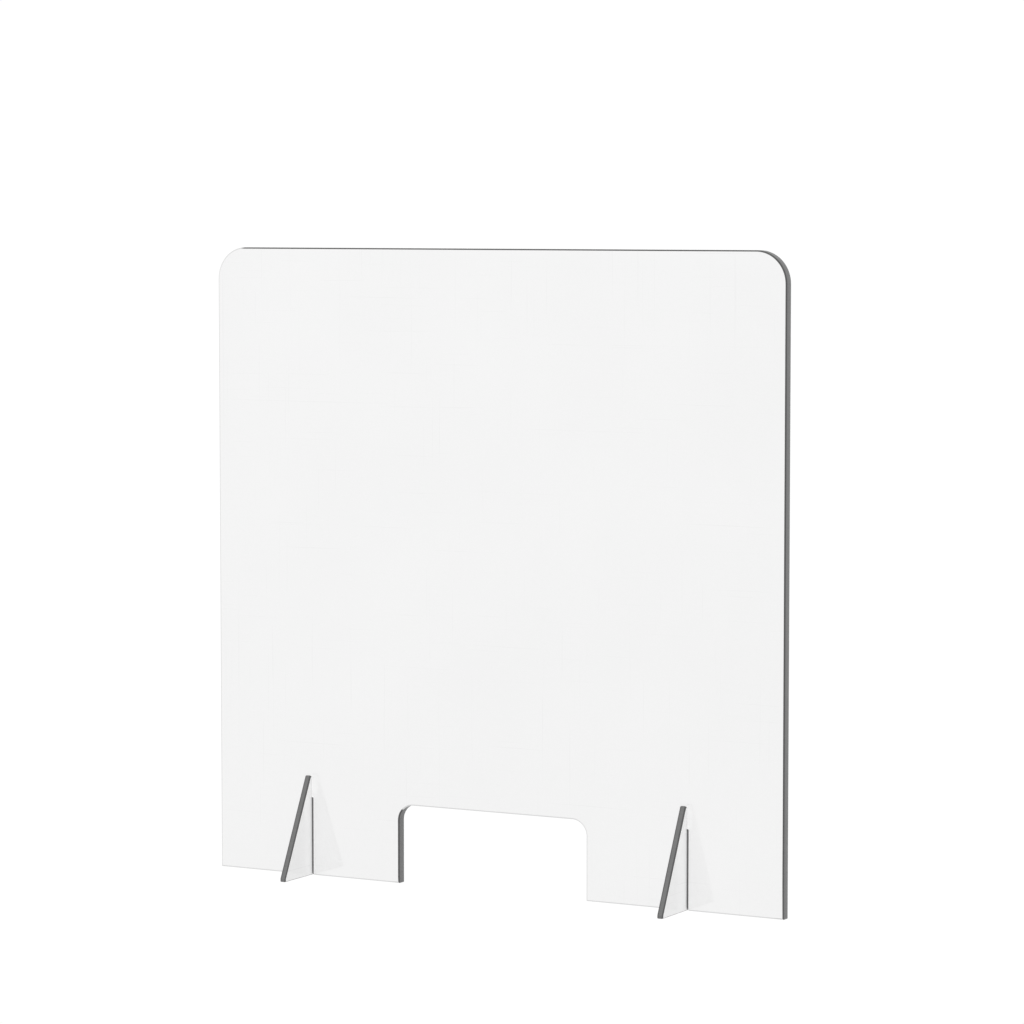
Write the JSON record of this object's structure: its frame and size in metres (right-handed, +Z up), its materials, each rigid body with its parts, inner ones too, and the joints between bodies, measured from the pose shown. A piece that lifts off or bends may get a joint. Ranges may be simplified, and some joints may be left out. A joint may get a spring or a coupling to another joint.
{
  "type": "desk privacy panel",
  "caption": "Upright translucent acrylic desk screen with a pass-through opening at the bottom, standing on slotted triangular feet that slide into it.",
  "frame": {"origin": "on the desk top, at the middle of the panel's width and thickness", "axes": "+Z up; +X along the panel, to the right as seen from the front; -Y is the front, the visitor's side"},
  "size_m": [0.6, 0.105, 0.6],
  "materials": {
    "panel_acrylic": "satin translucent acrylic sheet with dark grey cut edges",
    "foot_acrylic": "satin translucent acrylic sheet with dark grey cut edges"
  },
  "bodies": {
    "left_foot": {"left_foot": "foot_acrylic"},
    "panel": {"panel": "panel_acrylic"},
    "right_foot": {"right_foot": "foot_acrylic"}
  },
  "joints": [
    {"name": "panel_lift", "type": "slide", "parent": "left_foot", "child": "panel", "axis": [0, 0, 1], "range_m": [0, 0.07465]},
    {"name": "right_foot_slide", "type": "slide", "parent": "panel", "child": "right_foot", "axis": [0, 0, -1], "range_m": [0, 0.07465]}
  ]
}
